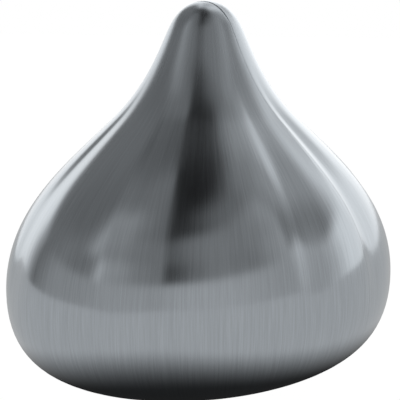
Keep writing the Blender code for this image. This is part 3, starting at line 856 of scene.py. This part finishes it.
def screw(node, x, z, face, side, head_radius, length, body):
    """Pan-head screw whose shank runs from its head's face towards side."""
    end = SCREW_HEAD + length
    profile = [(0, 0), *crown(0, head_radius, SCREW_CROWN), (SCREW_HEAD, head_radius),
               (SCREW_HEAD, SCREW_RADIUS - SCREW_NECK)]
    distance = SCREW_HEAD + THREAD_MARGIN
    while distance < end - THREAD_PITCH:
        profile += [(distance, SCREW_RADIUS - THREAD_DEPTH),
                    (distance + THREAD_PITCH / 2, SCREW_RADIUS)]
        distance += THREAD_PITCH
    profile += [(end - THREAD_MARGIN, SCREW_RADIUS - THREAD_DEPTH), (end, SCREW_POINT), (end, 0)]
    made = turned(node + "_turned", profile, (x, face, z), INTO_HALF[side], BRIGHT_LOOK,
                  sides=SCREW_SIDES)
    bm = bmesh.new()
    bmesh.ops.create_cube(bm, size=1.0, matrix=Matrix.Translation((x, face, z))
                          @ Matrix.Diagonal((*SCREW_SLOT, 1)))
    cut_away(made, to_object("slot", bm))
    stand_in(made, node, body)


def screws():
    """The screws that hold both frames, and the two of the plunger's arm."""
    for number, (x, z) in enumerate(BOSSES, 1):
        for half, side in (("front", -1), ("rear", 1)):
            screw("%s_screw_%d" % (half, number), x, z, PART_Y + side * FRAME_FACE, side,
                  SCREW_HEAD_RADIUS, SCREW_LENGTH, half + "_half")
    for number, side in ((1, -1), (2, 1)):
        screw("arm_screw_%d" % number, side * ARM_SCREW_X, FOOT_Z,
              ARM_FLANGE_END + GAP + SCREW_HEAD, -1, ARM_SCREW_HEAD_RADIUS, ARM_SCREW_LENGTH,
              "rear_half")


def rounded_outline(width, height, radius, centre_z):
    """Points round a rectangle with rounded corners."""
    points = []
    for sx, sz, start in ((1, 1, 0), (-1, 1, 90), (-1, -1, 180), (1, -1, 270)):
        for i in range(SIEVE_CORNER_STEPS + 1):
            turn = math.radians(start + 90 * i / SIEVE_CORNER_STEPS)
            points.append((sx * (width / 2 - radius) + radius * math.cos(turn),
                           centre_z + sz * (height / 2 - radius) + radius * math.sin(turn)))
    return points


def sieve():
    """Perforated plate with crisp round holes."""
    width, height = (size - 2 * GAP for size in BASKET_INSIDE)
    back = PART_Y - FRAME_FACE + GAP - BASKET_DEPTH + BASKET_LEDGE_THICKNESS + GAP
    face = back + SIEVE_THICKNESS
    bm = bmesh.new()
    loops = []
    for y, shrink in ((back, SIEVE_EDGE), (back + SIEVE_EDGE, 0), (face - SIEVE_EDGE, 0),
                      (face, SIEVE_EDGE)):
        outline = rounded_outline(width - 2 * shrink, height - 2 * shrink, SIEVE_CORNER - shrink,
                                  BASKET_Z)
        loops.append([bm.verts.new((x, y, z)) for x, z in outline])
    join_loops(bm, loops)
    bm.faces.new(loops[0])
    bm.faces.new(loops[-1])
    bmesh.ops.recalc_face_normals(bm, faces=bm.faces)
    made = to_object("sieve_punched", bm, BASKET_LOOK)
    bm = bmesh.new()
    lay = Matrix.Rotation(math.pi / 2, 4, "X")
    for i in range(SIEVE_COLUMNS):
        for j in range(SIEVE_ROWS):
            x = (i - (SIEVE_COLUMNS - 1) / 2) * SIEVE_PITCH
            z = BASKET_Z + (j - (SIEVE_ROWS - 1) / 2) * SIEVE_PITCH
            bmesh.ops.create_cone(bm, cap_ends=True, segments=SIEVE_HOLE_SIDES,
                                  radius1=SIEVE_HOLE_RADIUS, radius2=SIEVE_HOLE_RADIUS,
                                  depth=PUNCH_LENGTH,
                                  matrix=Matrix.Translation((x, (face + back) / 2, z)) @ lay)
    cut_away(made, to_object("holes", bm))
    stand_in(made, "sieve_plate", "front_half")


def soften(node, look, width):
    """Round a carried-over CAD piece's edges and give it its finish."""
    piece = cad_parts[node]
    piece.data.materials.clear()
    piece.data.materials.append(look)
    step = piece.modifiers.new("worn edges", "BEVEL")
    step.width = width * MM
    step.segments = SOFT_STEPS
    step.limit_method = "ANGLE"
    step.angle_limit = math.radians(SOFT_ABOVE)
    step.harden_normals = True


def carried_over():
    """The CAD pieces that keep their shape."""
    for node in ("front_frame", "rear_frame", "plunger_arm", "plunger_foot"):
        soften(node, CAST_LOOK, CAST_EDGE)
    soften("basket", BASKET_LOOK, BASKET_EDGE)
    for node in ("front_pad", "rear_pad"):
        soften(node, RUBBER_LOOK, RUBBER_EDGE)


# ---- the whole press ----------------------------------------------------------------------

studio()
floor()
camera()
bpy.context.scene.view_settings.view_transform = "Standard"

SHELL_LOOK = brushed_steel("brushed shell steel")
BOSS_LOOK = ground_finish("ground shell steel", (0.50, 0.52, 0.54), roughness=0.34, grain=0.06)
CAST_LOOK = ground_finish("cast steel", (0.40, 0.41, 0.42), roughness=0.42, grain=0.10)
BASKET_LOOK = ground_finish("blasted basket steel", (0.52, 0.53, 0.54), roughness=0.33, grain=0.07)
BRIGHT_LOOK = ground_finish("bright steel", (0.62, 0.62, 0.63), roughness=0.20, grain=0.03)
NICKEL_LOOK = ground_finish("nickel plate", (0.66, 0.63, 0.58), roughness=0.16, grain=0.03)
NYLON_LOOK = ground_finish("white nylon", (0.78, 0.78, 0.75), roughness=0.48, grain=0.03,
                           metallic=0.0)
RUBBER_LOOK = ground_finish("grey rubber", (0.06, 0.06, 0.065), roughness=0.72, grain=0.12,
                            metallic=0.0)

shells()
hinge()
plunger_pivot()
magnet("front_magnet", -1, "front_half")
magnet("rear_magnet", 1, "rear_half")
screws()
sieve()
carried_over()
